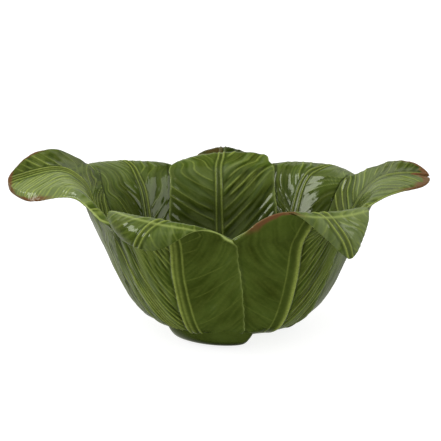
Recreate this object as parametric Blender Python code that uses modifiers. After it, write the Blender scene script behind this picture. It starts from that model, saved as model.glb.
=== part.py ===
"""Footed leaf bowl: seven big glazed leaves rise from a round well floor on three feet.

The leaves meet along seams that run up the wall. Above the rim each one opens into its own
lobe: the left and right leaves reach out as handles, the two front leaves fold over outwards,
the back leaf curls back, and the two beside it end in a rolled lip.
"""

import math

import bmesh
import bpy
from mathutils import Vector

MM = 0.001

# The bowl's own axis, seen from the middle of the whole object's footprint.
BOWL_AXIS = Vector((8.8, -8.0, 0.0)) * MM

LEAF_THICKNESS = 5.0 * MM
SEAM_GAP = 1.2 * MM
JOINT_GAP = 0.3 * MM  # between the floor, the feet and the leaves
CAGE_COLUMNS = 5
SWELL_STEP = 1.6  # parts of a column's angle over which the wall's cage stands out
SUBDIVISIONS = 1

FLOOR_UNDERSIDE = 12.5  # mm above the table
FLOOR_THICKNESS = 5.0
FLOOR_RADIUS = 48.8
FLOOR_STEPS = 48

FOOT_TOP_RADIUS = 62.0
FOOT_WAIST_RADIUS = 58.5
FOOT_BASE_RADIUS = 57.0
FOOT_INNER_RADIUS = 46.0
FOOT_STEPS = 72
FOOT_BASE_ANGLE = 58.0  # degrees of the ring that one foot keeps at the table
FOOT_TOP_ANGLE = 82.0
WEDGE_OVERRUN = 5.0  # mm that a foot's cutter runs past the ring above and below
WEDGE_REACH = 82.0
FEET = {"foot_front": 251.0, "foot_right": 17.5, "foot_rear": 139.0}

# Middle of the wall's thickness, mm: radius from the bowl's axis, height.
WALL = [
    (50.0, 15.2),
    (63.0, 15.8),
    (76.5, 19.8),
    (89.0, 30.8),
    (99.3, 48.6),
    (109.0, 70.0),
    (118.3, 93.0),
    (126.3, 112.0),
    (131.7, 124.0),
]

# Where a seam runs, in degrees anticlockwise from +X: at the floor, halfway up and at the rim.
SEAMS = {
    "front": (283.0, 279.0, 273.5),
    "front_right": (-32.0, -34.0, -38.0),
    "back_right": (32.0, 32.0, 31.0),
    "back_centre_right": (50.0, 58.0, 68.0),
    "back_centre_left": (134.0, 127.0, 117.5),
    "back_left": (178.0, 172.0, 161.0),
    "front_left": (198.0, 203.5, 217.0),
}

# Where two neighbouring leaves part, mm.
NOTCHES = {
    "front": (7.0, -137.0, 129.4),
    "front_right": (106.0, -88.0, 130.0),
    "back_right": (121.0, 62.0, 130.5),
    "back_centre_right": (46.6, 131.0, 124.5),
    "back_centre_left": (-57.6, 126.0, 125.0),
    "back_left": (-126.5, 54.0, 135.0),
    "front_left": (-102.0, -85.5, 122.8),
}

# A leaf runs anticlockwise from its first seam to its second. A lobe's rows go from the rim to
# the tip, and each has its first margin, its middle and its second margin, in mm. None stands
# for the notch where that margin starts.
LEAVES = {
    "leaf_left_handle": {
        "seams": ("back_left", "front_left"),
        "lobe": [
            (None, (-134, -12, 134), None),
            ((-134, 52, 145), (-143, -6, 144), (-118, -72, 137)),
            ((-145, 51, 152), (-152, 2, 149.5), (-131, -57, 145.5)),
            ((-159, 50, 161), (-164, 5, 151), (-147, -43, 147)),
            ((-176, 47, 163.5), (-178, 5, 148.5), (-165, -40, 143)),
            ((-193, 36, 159.5), (-195, 4, 144), (-184, -34, 136.5)),
            ((-204, 20, 151.5), (-208.5, 2, 141.5), (-200, -18, 131.5)),
        ],
    },
    "leaf_right_handle": {
        "seams": ("front_right", "back_right"),
        "lobe": [
            (None, (138, -6, 133), None),
            ((120, -60, 131), (146, 0, 142), (130, 51, 139)),
            ((134, -46, 137), (156, 2, 145.5), (142, 45, 145.5)),
            ((149, -40, 142.5), (167, 3, 147.5), (154, 42, 151.5)),
            ((163, -35, 145), (178, 4, 147.5), (168, 37, 154.5)),
            ((177, -23, 142.5), (186, 4, 147), (181, 28, 154)),
            ((188, -10, 141), (190.5, 4, 146.5), (188, 15, 151.5)),
        ],
    },
    "leaf_front_left": {
        "seams": ("front_left", "front"),
        "lobe": [
            (None, (-59, -125, 132), None),
            ((-100, -91, 132.5), (-59, -130, 141), (-7, -139, 135.5)),
            ((-103, -91, 141), (-64, -132, 147), (-21, -141, 140.5)),
            ((-108, -96, 143), (-75, -139, 141), (-35, -148, 139)),
            ((-104, -105, 132), (-79, -142, 130), (-48, -149, 129)),
            ((-95, -116, 124.5), (-80, -136, 122), (-63, -145, 121)),
        ],
    },
    "leaf_front_right": {
        "seams": ("front", "front_right"),
        "lobe": [
            (None, (66, -124, 131), None),
            ((20, -138, 142), (72, -126, 141), (112, -89, 136)),
            ((35, -138, 152.5), (78, -127, 149), (119, -88, 142)),
            ((53, -136, 156), (88, -126, 149), (125, -90, 145)),
            ((69, -137, 144), (96, -130, 139), (124, -99, 137)),
            ((85, -136, 129), (105, -130, 126), (120, -109, 127)),
            ((101, -132, 112), (107, -129, 109.5), (113, -121, 115)),
        ],
    },
    "leaf_back_right": {
        "seams": ("back_right", "back_centre_right"),
        "lobe": [
            (None, (93, 102, 127), None),
            ((124, 66, 129.5), (99, 109, 130), (51, 133, 126)),
            ((130, 73, 126), (107, 118, 126.5), (57, 140, 123)),
        ],
    },
    "leaf_back_center": {
        "seams": ("back_centre_right", "back_centre_left"),
        "lobe": [
            (None, (-4, 140, 127), None),
            ((46, 140, 133.5), (-4, 146, 134.5), (-47, 138, 127)),
            ((25, 149, 128.5), (-4, 152, 127), (-33, 148, 126.5)),
            ((14, 158, 129.5), (-4, 161, 132.5), (-24, 157, 129)),
            ((6, 163, 128), (-4, 166.5, 131), (-14, 163, 128)),
        ],
    },
    "leaf_back_left": {
        "seams": ("back_centre_left", "back_left"),
        "lobe": [
            (None, (-99, 102, 129), None),
            ((-62, 129, 126.5), (-105, 109, 134), (-135, 64, 143)),
            ((-68, 135, 123), (-112, 117, 130), (-141, 74, 139)),
        ],
    },
}

MERGE_DISTANCE = 0.0001

LEAF_COLOUR = (0.055, 0.12, 0.016)
FLOOR_COLOUR = (0.03, 0.075, 0.01)
FOOT_COLOUR = (0.045, 0.075, 0.012)
GLAZE_ROUGHNESS = 0.12


def quadratic(first, middle, last, share):
    """A curve through three values or points, at shares 0, 0.5 and 1."""
    return (
        first * (2 * (share - 0.5) * (share - 1))
        + middle * (4 * share * (1 - share))
        + last * (2 * share * (share - 0.5))
    )


def glaze(name, colour):
    material = bpy.data.materials.new(name)
    material.use_nodes = True
    shader = material.node_tree.nodes["Principled BSDF"]
    shader.inputs["Base Color"].default_value = (*colour, 1.0)
    shader.inputs["Roughness"].default_value = GLAZE_ROUGHNESS
    shader.inputs["Metallic"].default_value = 0.0
    return material


def add_object(name, mesh, material, collection, axis):
    piece = bpy.data.objects.new(name, mesh)
    collection.objects.link(piece)
    mesh.materials.append(material)
    mesh.shade_smooth()
    piece.parent = axis
    return piece


def wall_row(index, seams):
    """One row of a leaf's cage on the wall, from its first seam to its second."""
    radius, height = WALL[index]
    climb = min(1.0, index / (len(WALL) - 2))
    start = quadratic(*SEAMS[seams[0]], climb)
    end = quadratic(*SEAMS[seams[1]], climb)
    if end < start:
        end += 360.0
    step = math.radians(end - start) / (CAGE_COLUMNS - 1)
    row = []
    for column in range(CAGE_COLUMNS):
        # The surface runs inside its cage, so the columns between the seams stand out a little.
        at_seam = column in (0, CAGE_COLUMNS - 1)
        swell = 1.0 if at_seam else 1.0 / math.cos(step / SWELL_STEP)
        angle = math.radians(start) + step * column
        row.append(
            Vector((math.cos(angle), math.sin(angle), 0.0)) * radius * swell
            + Vector((0.0, 0.0, height))
        )
    return row


def lobe_row(points, seams):
    """One row of the cage beyond the rim, on a curve through its three points."""
    first, middle, last = points
    first = Vector(first if first else NOTCHES[seams[0]])
    last = Vector(last if last else NOTCHES[seams[1]])
    shares = [column / (CAGE_COLUMNS - 1) for column in range(CAGE_COLUMNS)]
    return [quadratic(first, Vector(middle), last, share) for share in shares]


def open_seams(row):
    """Draws both margins in by half the seam gap."""
    for edge, inner in ((0, 1), (-1, -2)):
        inwards = (row[inner] - row[edge]).normalized()
        row[edge] = row[edge] + inwards * (SEAM_GAP / MM / 2)
    return row


def make_leaf(name, leaf, material, collection, axis):
    """A coarse cage of the middle of the leaf's thickness, smoothed and thickened both ways."""
    seams = leaf["seams"]
    rows = [wall_row(index, seams) for index in range(len(WALL))]
    rows += [lobe_row(points, seams) for points in leaf["lobe"]]
    cage = bmesh.new()
    grid = [[cage.verts.new(point * MM) for point in open_seams(row)] for row in rows]
    for lower, upper in zip(grid, grid[1:]):
        for column in range(CAGE_COLUMNS - 1):
            cage.faces.new(
                (lower[column], lower[column + 1], upper[column + 1], upper[column])
            )
    mesh = bpy.data.meshes.new(name)
    cage.to_mesh(mesh)
    cage.free()
    piece = add_object(name, mesh, material, collection, axis)
    smooth = piece.modifiers.new("Leaf surface", "SUBSURF")
    smooth.levels = SUBDIVISIONS
    smooth.render_levels = SUBDIVISIONS
    smooth.boundary_smooth = "PRESERVE_CORNERS"
    thicken = piece.modifiers.new("Leaf thickness", "SOLIDIFY")
    thicken.thickness = LEAF_THICKNESS
    thicken.offset = 0.0
    return piece


def turned(name, profile, steps, closed):
    """A mesh object with the profile in the XZ plane and a Screw that turns it round Z."""
    outline = bmesh.new()
    points = [outline.verts.new((radius * MM, 0.0, height * MM)) for radius, height in profile]
    for start, end in zip(points, points[1:]):
        outline.edges.new((start, end))
    if closed:
        outline.edges.new((points[-1], points[0]))
    mesh = bpy.data.meshes.new(name)
    outline.to_mesh(mesh)
    outline.free()
    piece = bpy.data.objects.new(name, mesh)
    screw = piece.modifiers.new("Turn", "SCREW")
    screw.steps = steps
    screw.render_steps = steps
    screw.use_merge_vertices = True
    screw.merge_threshold = MERGE_DISTANCE
    return piece


def make_floor(material, collection, axis):
    top = FLOOR_UNDERSIDE + FLOOR_THICKNESS
    profile = [
        (0.0, top),
        (FLOOR_RADIUS, top),
        (FLOOR_RADIUS, FLOOR_UNDERSIDE),
        (0.0, FLOOR_UNDERSIDE),
    ]
    floor = turned("well_floor", profile, FLOOR_STEPS, closed=False)
    floor.data.materials.append(material)
    collection.objects.link(floor)
    floor.parent = axis
    return floor


def foot_wedge(name, angle, cutters, axis):
    """The slice of the ring that one foot keeps, wider at the top than at the table."""
    wedge = bmesh.new()
    bottom_face, top_face = [], []
    for height, corners in (
        (-WEDGE_OVERRUN, bottom_face),
        (FLOOR_UNDERSIDE + WEDGE_OVERRUN, top_face),
    ):
        climb = height / FLOOR_UNDERSIDE
        spread = FOOT_BASE_ANGLE + (FOOT_TOP_ANGLE - FOOT_BASE_ANGLE) * climb
        corners.append(wedge.verts.new((0.0, 0.0, height * MM)))
        for share in (-0.5, 0.0, 0.5):
            turn = math.radians(share * spread)
            outwards = Vector((math.cos(turn), math.sin(turn), 0.0)) * WEDGE_REACH
            corners.append(wedge.verts.new((outwards + Vector((0.0, 0.0, height))) * MM))
    wedge.faces.new(reversed(bottom_face))
    wedge.faces.new(top_face)
    for index in range(len(bottom_face)):
        after = (index + 1) % len(bottom_face)
        wedge.faces.new(
            (bottom_face[index], bottom_face[after], top_face[after], top_face[index])
        )
    mesh = bpy.data.meshes.new(name)
    wedge.to_mesh(mesh)
    wedge.free()
    cutter = bpy.data.objects.new(name, mesh)
    cutters.objects.link(cutter)
    cutter.hide_render = True
    cutter.display_type = "WIRE"
    cutter.rotation_euler.z = math.radians(angle)
    cutter.parent = axis
    return cutter


def make_foot(name, angle, material, collection, cutters, axis):
    """A length of the turned foot ring, cut off by its wedge."""
    top = FLOOR_UNDERSIDE - JOINT_GAP / MM
    profile = [
        (FOOT_TOP_RADIUS, top),
        (FOOT_WAIST_RADIUS, top / 2),
        (FOOT_BASE_RADIUS, 0.0),
        (FOOT_INNER_RADIUS, 0.0),
        (FOOT_INNER_RADIUS, top),
    ]
    foot = turned(name, profile, FOOT_STEPS, closed=True)
    foot.data.materials.append(material)
    collection.objects.link(foot)
    foot.parent = axis
    cut = foot.modifiers.new("Foot arc", "BOOLEAN")
    cut.operation = "INTERSECT"
    cut.solver = "EXACT"
    cut.object = foot_wedge(name + "_cutter", angle, cutters, axis)
    return foot


def new_collection(name):
    collection = bpy.data.collections.new(name)
    bpy.context.scene.collection.children.link(collection)
    return collection


def main():
    for item in list(bpy.data.objects):
        bpy.data.objects.remove(item)
    bowl = new_collection("Leaf bowl")
    cutters = new_collection("Cutters")
    axis = bpy.data.objects.new("bowl_axis", None)
    axis.location = BOWL_AXIS
    bowl.objects.link(axis)

    make_floor(glaze("well_glaze", FLOOR_COLOUR), bowl, axis)
    for name, angle in FEET.items():
        make_foot(name, angle, glaze(name + "_glaze", FOOT_COLOUR), bowl, cutters, axis)
    for name, leaf in LEAVES.items():
        make_leaf(name, leaf, glaze(name + "_glaze", LEAF_COLOUR), bowl, axis)


main()
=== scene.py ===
"""Looks of the footed leaf bowl: seven glazed leaves with their veins, the well floor and the feet.

Each leaf is a smooth B-spline surface through the middle of its thickness. Its two faces stand off
from it by the wall's half thickness plus a relief of midrib, side veins and hand-made unevenness.
Sizes are in millimetres from the bowl's own axis until a mesh is made, which is in metres.
"""

import math

import bmesh
import bpy
import numpy as np
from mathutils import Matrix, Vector


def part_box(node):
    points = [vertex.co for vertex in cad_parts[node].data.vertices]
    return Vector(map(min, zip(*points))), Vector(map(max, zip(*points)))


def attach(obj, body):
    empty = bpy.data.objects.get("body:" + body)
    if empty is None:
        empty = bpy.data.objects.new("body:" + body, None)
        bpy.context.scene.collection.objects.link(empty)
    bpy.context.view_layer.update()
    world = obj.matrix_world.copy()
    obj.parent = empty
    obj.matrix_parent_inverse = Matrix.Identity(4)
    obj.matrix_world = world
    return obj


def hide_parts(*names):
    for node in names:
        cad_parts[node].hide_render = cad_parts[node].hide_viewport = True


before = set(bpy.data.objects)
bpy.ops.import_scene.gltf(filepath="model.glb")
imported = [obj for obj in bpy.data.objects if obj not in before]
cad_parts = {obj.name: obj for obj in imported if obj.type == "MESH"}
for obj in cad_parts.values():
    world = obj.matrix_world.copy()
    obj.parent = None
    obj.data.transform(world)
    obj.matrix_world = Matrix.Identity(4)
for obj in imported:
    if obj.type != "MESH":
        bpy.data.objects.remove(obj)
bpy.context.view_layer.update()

MM = 0.001

# ---- sizes

CAGE_COLUMNS = 5
SWELL_STEP = 1.6  # parts of a column's angle over which the wall's cage stands out
DENSE_ROWS = 800  # rows that a leaf's length is measured on
GRID_STEP = 0.9  # mm between the points of a leaf's mesh
EDGE_POINTS = 6  # extra points across a rounded edge
LEAF_THICKNESS = 5.0
TIP_THICKNESS = 3.8
LOBE_BLEND = 40.0  # mm past its notch until it has the tip's thickness and tone
EDGE_ROUND = 2.4
CORNER = 9.0
LIP_DEPTH = 12.0  # how far from a free margin the leaf gets thinner, to a lip
LIP_THICKNESS = 0.55
SEAM_SHOWN = 0.4  # how far the margin that lies on top runs past its seam
SEAM_HIDDEN = 4.5  # and the margin under it
SEAM_LIFT = 0.65  # how far a margin stands off, to lie over or under its neighbour
SEAM_BLEND = 13.0
SEAM_RELEASE = 10.0  # how far past its notch a seam lets go
CURL_BLEND = 13.0
MESH_POINTS = 42_000  # most points on one face of a leaf

# A margin keeps to its seam until the notch, then waves. A wave's length is for one radian.
SEAM_END = (-6.0, 8.0)
WAVE_START = 14.0
SLOW_WAVE = 2.9
SLOW_DRIFT = 0.8
SLOW_DRIFT_WAVE = 7.0
FAST_WAVE = 1.3
FAST_SHARE = 0.3
RAGGED_WAVES = (2.3, 6.1)
RAGGED_HEIGHT = 0.5
LEAF_PHASE = 1.7
SIDE_PHASE = 1.3
NOTCH_CUT_PLACE = 2.0
NOTCH_CUT_WIDTH = 7.0
TIP_NOTCH_FADE = 30.0  # how far a notch in the tip is felt

# Middle of the wall's thickness: radius, height. The first two rows lie on the floor.
WALL = [
    (12.0, 14.4),
    (31.0, 14.8),
    (50.0, 15.2),
    (63.0, 15.8),
    (76.5, 19.8),
    (89.0, 30.8),
    (99.3, 48.6),
    (109.0, 70.0),
    (118.3, 93.0),
    (126.3, 112.0),
    (131.7, 124.0),
]
FLOOR_ROWS = 2

# Where a seam runs, in degrees anticlockwise from +X: at the floor, halfway up and at the rim.
SEAMS = {
    "front": (283.0, 279.0, 273.5),
    "front_right": (-32.0, -34.0, -38.0),
    "back_right": (32.0, 32.0, 31.0),
    "back_centre_right": (50.0, 58.0, 68.0),
    "back_centre_left": (134.0, 127.0, 117.5),
    "back_left": (178.0, 172.0, 161.0),
    "front_left": (198.0, 203.5, 217.0),
}

# Where two neighbouring leaves part.
NOTCHES = {
    "front": (7.0, -137.0, 129.4),
    "front_right": (106.0, -88.0, 130.0),
    "back_right": (121.0, 62.0, 130.5),
    "back_centre_right": (46.6, 131.0, 124.5),
    "back_centre_left": (-57.6, 126.0, 125.0),
    "back_left": (-126.5, 54.0, 135.0),
    "front_left": (-102.0, -85.5, 122.8),
}

# A leaf runs anticlockwise from its first seam to its second, and a pair is for its two margins or
# its two halves in that order.
#   seams       where it meets its neighbours
#   over        on which side each margin lies: 1 outside its neighbour, -1 inside it
#   shown       whether each margin lies on top where the bowl is looked at most
#   rib         the midrib's place across the leaf, 0 to 1, at even steps from floor to tip
#   corner      radius of the tip's two corners, if not CORNER
#   wave        how much each margin waves
#   curl        how far each free margin rolls over towards the underside
#   notch_cut   how far each margin is drawn in at its notch
#   tip_notch   width and depth of a notch in the tip
#   fold        a fold line, pale with thin glaze and a painted highlight: its distance from the tip, its slope, and how dark the painted shade on the tip behind it is
#   veins       each half's veins: pitch along the midrib, lean, bend, strength inside and outside
#   inner_lines, outer_lines, outer_grooves
#               lines along the midrib: offset from its middle, width, height or depth
#   sheen_and_tone  how much lighter each half of the free part is, or darker below 0: the glaze's
#   own tone together with painted sheen
#   brown       stretch of each margin that the brown glaze covers, in mm back from the tip
#   brown_width how many times wider than usual that is
#   brown_tip   how far back from the tip each half is brown all over
#   lobe        rows of the free part: first margin, middle, last margin. None is at the notch.
LEAVES = {
    "leaf_left_handle": {
        "seams": ("back_left", "front_left"),
        "over": (-1, -1),
        "shown": (True, False),
        "rib": (0.45, 0.42, 0.36, 0.30, 0.27, 0.36, 0.43, 0.46, 0.48),
        "corner": 17.0,
        "brown": ((0, 34), (0, 36)),
        "wave": (0.5, 0.3),
        "curl": (0.0, 4.0),
        "sheen_and_tone": (-1.2, 2.8),
        "veins": ((8.5, 0.8, -0.004, 0.9, 0.5), (8.0, 1.5, 0.006, 1.2, 0.7)),
        "inner_lines": ((-7.5, 1.0, 0.9), (-1.2, 1.1, 1.0), (6.8, 1.1, 1.0)),
        "lobe": [
            (None, (-134, -12, 134), None),
            ((-134, 52, 145), (-143, -6, 144), (-118, -72, 137)),
            ((-145, 51, 152), (-152, 2, 149.5), (-131, -57, 144.5)),
            ((-159, 50, 161), (-164, 5, 151), (-147, -43, 145.5)),
            ((-176, 47, 163.5), (-178, 5, 148.5), (-165, -40, 141.5)),
            ((-193, 36, 159.5), (-195, 4, 144), (-184, -34, 136)),
            ((-204, 20, 151.5), (-208.5, 2, 141.5), (-200, -18, 131.5)),
        ],
    },
    "leaf_right_handle": {
        "seams": ("front_right", "back_right"),
        "over": (-1, -1),
        "shown": (False, True),
        "rib": (0.62, 0.64, 0.67, 0.70, 0.73, 0.68, 0.60, 0.55, 0.52),
        "tip_notch": (6.0, 12.0),
        "corner": 11.0,
        "brown": ((0, 21), (0, 22)),
        "brown_tip": (10.0, 10.0),
        "sheen_and_tone": (-0.7, -2.4),
        "wave": (0.3, 1.1),
        "veins": ((7.5, 1.5, 0.004, 1.0, 0.6), (7.5, 0.3, 0.0, 1.1, 0.6)),
        "inner_lines": ((-0.3, 1.3, 1.0), (3.3, 0.8, 0.4)),
        "lobe": [
            (None, (138, -6, 133), None),
            ((120, -60, 131), (146, 0, 142), (130, 51, 139)),
            ((134, -46, 137), (156, 2, 145.5), (142, 45, 145.5)),
            ((149, -40, 142.5), (167, 3, 147.5), (154, 42, 151.5)),
            ((163, -35, 145), (178, 4, 147.5), (168, 37, 154.5)),
            ((177, -23, 142.5), (186, 4, 147), (181, 28, 154)),
            ((188, -10, 141), (190.5, 4, 146.5), (188, 15, 151.5)),
        ],
    },
    "leaf_front_left": {
        "seams": ("front_left", "front"),
        "over": (1, 1),
        "shown": (True, True),
        "rib": (0.60, 0.60, 0.59, 0.58, 0.56, 0.57, 0.60, 0.58, 0.50),
        "fold": (27.0, 0.0, 0.0),
        "sheen_and_tone": (-0.6, 1.2),
        "notch_cut": (0.0, 4.5),
        "wave": (0.3, 0.2),
        "veins": ((8.0, 0.9, 0.012, 0.6, 1.25), (11.0, 0.35, 0.006, 0.6, 0.3)),
        "lobe": [
            (None, (-59, -125, 132), None),
            ((-100, -91, 132.5), (-59, -130, 141), (-7, -139, 135.5)),
            ((-103, -91, 141), (-64, -132, 147), (-21, -141, 140.5)),
            ((-108, -96, 143), (-75, -139, 141), (-35, -148, 139)),
            ((-104, -105, 132), (-79, -142, 130), (-48, -149, 129)),
            ((-95, -116, 124.5), (-80, -136, 122), (-63, -145, 121)),
        ],
    },
    "leaf_front_right": {
        "seams": ("front", "front_right"),
        "over": (-1, 1),
        "shown": (False, True),
        "rib": (0.35, 0.38, 0.43, 0.48, 0.50, 0.49, 0.45, 0.41, 0.40),
        "fold": (41.0, 0.0, 0.0),
        "sheen_and_tone": (2.2, 2.2),
        "brown_width": 1.8,
        "corner": 5.0,
        "brown": ((41, 74), (0, 0)),
        "wave": (0.3, 0.2),
        "veins": ((12.0, 0.5, 0.004, 0.6, 0.3), (9.0, 1.0, 0.010, 0.6, 0.9)),
        "outer_lines": ((-8.6, 0.9, 0.4), (3.0, 2.2, 0.9)),
        "outer_grooves": ((-4.2, 2.8, 0.35), (7.0, 1.2, 0.7)),
        "lobe": [
            (None, (66, -124, 131), None),
            ((20, -138, 142), (72, -126, 141), (112, -89, 136)),
            ((35, -138, 152.5), (78, -127, 149), (119, -88, 142)),
            ((53, -136, 156), (88, -126, 149), (125, -90, 145)),
            ((69, -137, 144), (96, -130, 139), (124, -99, 137)),
            ((85, -136, 129), (105, -130, 126), (120, -109, 127)),
            ((101, -132, 112), (107, -129, 109.5), (113, -121, 115)),
        ],
    },
    "leaf_back_right": {
        "seams": ("back_right", "back_centre_right"),
        "over": (1, 1),
        "shown": (False, False),
        "rib": (0.78, 0.79, 0.80, 0.78, 0.72, 0.65, 0.56, 0.46, 0.40),
        "wave": (0.3, 0.3),
        "veins": ((12.0, 0.9, 0.004, 0.45, 0.8), (11.0, 0.6, 0.004, 0.7, 0.8)),
        "lobe": [
            (None, (93, 102, 127), None),
            ((124, 66, 129.5), (99, 109, 130), (51, 133, 126)),
            ((130, 73, 126), (107, 118, 126.5), (57, 140, 123)),
        ],
    },
    "leaf_back_center": {
        "seams": ("back_centre_right", "back_centre_left"),
        "over": (-1, -1),
        "shown": (True, True),
        "rib": (0.53, 0.53, 0.53, 0.53, 0.53, 0.53, 0.53, 0.52, 0.50),
        "brown": ((0, 10), (0, 24)),
        "brown_tip": (0.0, 18.0),
        "fold": (22.0, 0.35, 0.95),
        "notch_cut": (4.0, 2.5),
        "wave": (0.4, 0.4),
        "veins": ((9.5, 0.85, 0.002, 1.25, 0.9), (10.0, 0.4, 0.002, 0.7, 0.9)),
        "lobe": [
            (None, (-4, 140, 127), None),
            ((46, 140, 133.5), (-4, 146, 134.5), (-47, 138, 127)),
            ((25, 149, 128.5), (-4, 152, 127), (-33, 148, 126.5)),
            ((18, 158, 131.5), (-4, 161, 135.5), (-29, 157, 131.5)),
            ((8, 163, 130), (-4, 166.5, 134), (-18, 163, 130)),
        ],
    },
    "leaf_back_left": {
        "seams": ("back_centre_left", "back_left"),
        "over": (1, 1),
        "shown": (False, False),
        "rib": (0.22, 0.22, 0.22, 0.24, 0.28, 0.32, 0.38, 0.48, 0.54),
        "wave": (0.3, 0.3),
        "veins": ((12.0, 0.9, 0.004, 0.55, 0.8), (10.0, 1.3, 0.004, 0.7, 0.8)),
        "lobe": [
            (None, (-99, 102, 129), None),
            ((-62, 129, 126.5), (-105, 109, 134), (-135, 64, 143)),
            ((-68, 135, 123), (-112, 117, 130), (-141, 74, 139)),
        ],
    },
}

# Lines along a midrib where a leaf names none: offset from its middle, width, height or depth.
INNER_LINES = ((-4.3, 1.05, 0.95), (4.1, 0.9, 1.0), (0.6, 0.6, 0.15))
OUTER_LINES = ((-4.3, 1.3, 1.0), (0.8, 1.5, 0.4), (7.6, 0.9, 0.65))
OUTER_GROOVES = ((-7.8, 1.6, 0.6), (4.6, 1.2, 0.35))

RIB_SMOOTHING = 30  # rows on each side that smooth its bends
RIB_TAPER = 0.5  # how much thinner a midrib is at the tip
OUTER_RIB_LEAST = 0.4  # share of its width outside that doesn't taper
OUTER_RIB = 4.0
RIB_HEIGHT = 0.9
RIB_WIDTH = 6.8
OUTER_LINE_HEIGHT = 0.75
OUTER_GROOVE_DEPTH = 0.7
OUTER_RIB_PALENESS = 0.12
INNER_LINE_HEIGHT = 0.85
CHANNEL_DEPTH = 0.5
CHANNEL_WALL = (0.5, -1.5)  # from its outermost line, over which the channel sinks
BESIDE_RIB = 2.2  # how far outside its outermost line a groove runs
BESIDE_WIDTH = 1.1
BESIDE_DEPTH = 0.25
AWAY_FROM_RIB = 2.2  # half widths of the midrib at which the veins reach full height

# The side veins are thin ridges on low pillows, with finer streaks that run the same way. Each
# vein draws its strength, start and length, of which two give the least and what a draw adds.
VEIN_WIDTH = 0.8
VEIN_HEIGHT = 0.5
VEIN_LEAST = 0.12
VEIN_START = (2.0, 10.0)
VEIN_LENGTH = (18.0, 60.0)
VEIN_FADE_IN = (-3.0, 4.0)
VEIN_FADE_OUT = 12.0
VEIN_CLEAR = (2.0, 8.0)  # from the midrib's middle, where the veins appear
VEIN_WANDER_START = 20.0
VEIN_DRAWS = 256
VEIN_SEED = 97
VEIN_DRAWS_PER_LEAF = 31
FINE_VEINS = 3.0  # to each vein
FINE_VEIN_WIDTH = 0.55
FINE_VEIN_HEIGHT = 0.38
FINE_VEIN_PATCH = (14.0, 24.0)
FINE_VEIN_PATCH_FADE = 0.6
HALVES_APART = 10.0  # keeps the noise of a leaf's two halves apart
PILLOW_HEIGHT = 0.10
STREAK_HEIGHT = 0.34
STREAK_SIZE = (6.0, 30.0)
FINE_STREAK_HEIGHT = 0.12
FINE_STREAK_SIZE = (2.3, 15.0)
UNEVEN_HEIGHT = 0.30

# Layers of noise: strength, size in mm, and seed, to which each leaf adds its own number.
VEIN_WANDER = ((0.6, 26.0, 11), (0.25, 8.0, 12))
UNEVENNESS = ((1.0, 17.0, 5), (0.35, 7.0, 31))
EDGE_WOBBLE = ((0.45, 8.0, 41),)
INNER_RIB_WOBBLE = ((0.25, 9.0, 51),)
OUTER_RIB_WOBBLE = ((0.25, 9.0, 61),)
BROWN_WOBBLE = ((0.5, 5.0, 71),)
TONE_CLOUDS = ((0.7, 34.0, 81),)

# How light the glaze's own tone is outside and at the rim inside, and how much painted shade
# darkens it towards the floor.
TONE_OUTSIDE = 0.4
TONE_RIM = 0.4
TONE_WELL_SHADE = 3.2
TONE_WELL_SHADE_HEIGHTS = (125.0, 25.0)
TONE_BANDS = 1.9  # how much lighter the high streaks are than the low ones
TONE_HALVES = (-8.0, 12.0)  # across the midrib, from one half's tone to the other's

# Where the colour is darkened, from 0 to 1: painted shade low inside the bowl, and painted shade
# with some gathered glaze beside midribs and seams.
WELL_PAINTED_SHADE = 0.62
WELL_SHADE_HEIGHTS = (118.0, 78.0)
RIB_POOL_AND_SHADE = 0.5
OUTER_GROOVE_POOL_AND_SHADE = 0.7
SEAM_SHADE_WIDTH = 1.6
OUTER_SEAM_SHADE = 0.35

# Where it is pale over an edge or a fold: thin glaze with a painted highlight. Behind a fold the
# tip gets painted shade.
EDGE_WIDTH = 0.45
SEAM_EDGE_EXTRA = 0.75
EDGE_GLAZE_AND_HIGHLIGHT = 0.9
FOLD_WIDTH = 1.3
FOLD_GLAZE_AND_HIGHLIGHT = 0.75
FOLD_SHADE = (-3.0, -1.0)

# The brown glaze: its width from a margin, how it ends along it, and the tip.
BROWN_BAND = (2.6, 5.6)
BROWN_FAR_END = (-14.0, 2.0)
BROWN_NEAR_END = (-4.0, 6.0)
BROWN_START = 9.0  # how far past the notch it can begin
BROWN_TIP_SOLID = 0.55
BROWN_LEAST_TIP = 0.1
BROWN_BEHIND_FOLD = 0.75  # how much of it the painted shade behind a fold hides

FEET = {"foot_front": 251.0, "foot_right": 17.5, "foot_rear": 139.0}
FOOT_BASE_RADII = (46.0, 57.0)
FOOT_TOP_RADII = (42.0, 88.0)
FOOT_TOP = 17.0
FOOT_OUTER_LIFT = 12.0  # how much higher its outer rim reaches, into the leaves
FOOT_BASE_HALF_ANGLE = 33.0
FOOT_TOP_HALF_ANGLE = 31.0
FOOT_LEAN = (-1.0, 6.0)  # degrees that its base and its top stand anticlockwise of its place
FOOT_CUTS = 23
FOOT_SQUARENESS = 7  # power of the rounded block that a foot is bent from
FOOT_FLARE = 0.69  # powers of the climb: how soon it gets wider
FOOT_NARROWING = 1.3  # and how late it gets shorter
FOOT_LIFT_POWER = 4
FOOT_BASE_SHADE = 0.4  # share of its height over which the painted shade at its base fades

WELL_UNDERSIDE = 12.5
WELL_RADIUS = 51.5
WELL_CENTRE_RADIUS = 15.0
WELL_CENTRE_TOP = 18.6
WELL_TOP = 16.2
WELL_INNER_RINGS = (0.4, 18.0, 24)  # first radius, last radius, count
WELL_OUTER_RINGS = (20.0, WELL_RADIUS, 12)
WELL_STEPS = 180
WELL_GROOVE = 0.35
WELL_GROOVE_START = (1.0, 8.0)
WELL_FLOOR_SHADE = 0.4

# ---- colours and light

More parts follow.
